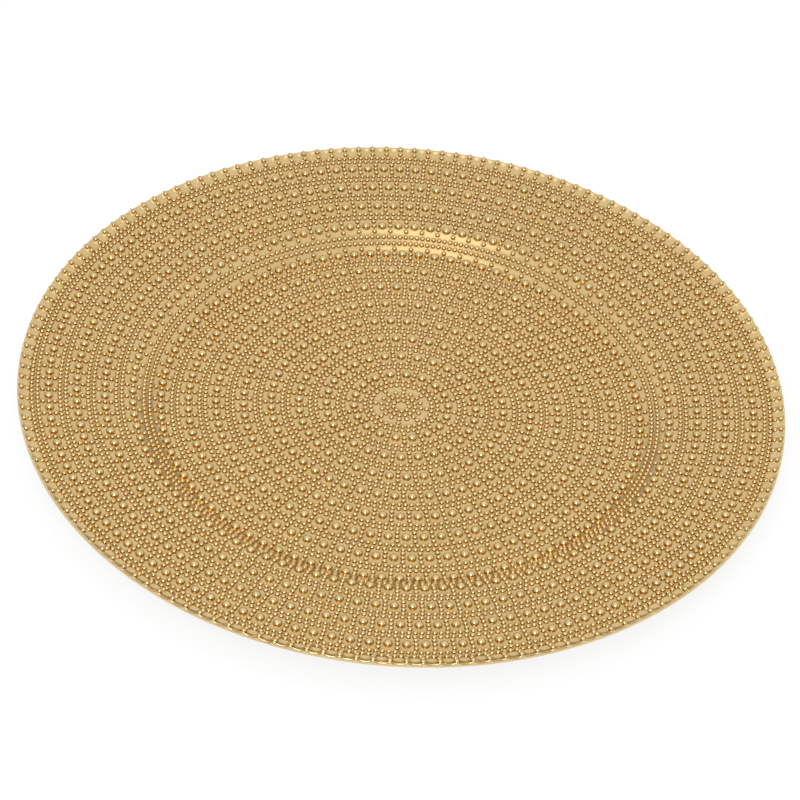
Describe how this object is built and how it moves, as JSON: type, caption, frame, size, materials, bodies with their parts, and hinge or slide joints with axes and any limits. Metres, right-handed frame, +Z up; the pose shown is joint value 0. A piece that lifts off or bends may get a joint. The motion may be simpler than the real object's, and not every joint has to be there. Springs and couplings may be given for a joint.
{
  "type": "decorative plate",
  "caption": "Round shallow charger plate with a flat well, a wide beaded rim, a ribbed edge and a gold face, laid under a dinner plate or set out for show.",
  "frame": {"origin": "centre of the foot ring's resting plane, on the plate's axis", "axes": "+Z up along the plate's axis, out of the well; +X and +Y across the plate, which is round"},
  "size_m": [0.33, 0.33, 0.0192],
  "materials": {
    "plate_plastic": "dull gold, moulded in colour",
    "gold_finish": "metallised satin gold"
  },
  "bodies": {
    "root": {"plate_body": "plate_plastic", "gold_face": "gold_finish"}
  },
  "joints": []
}
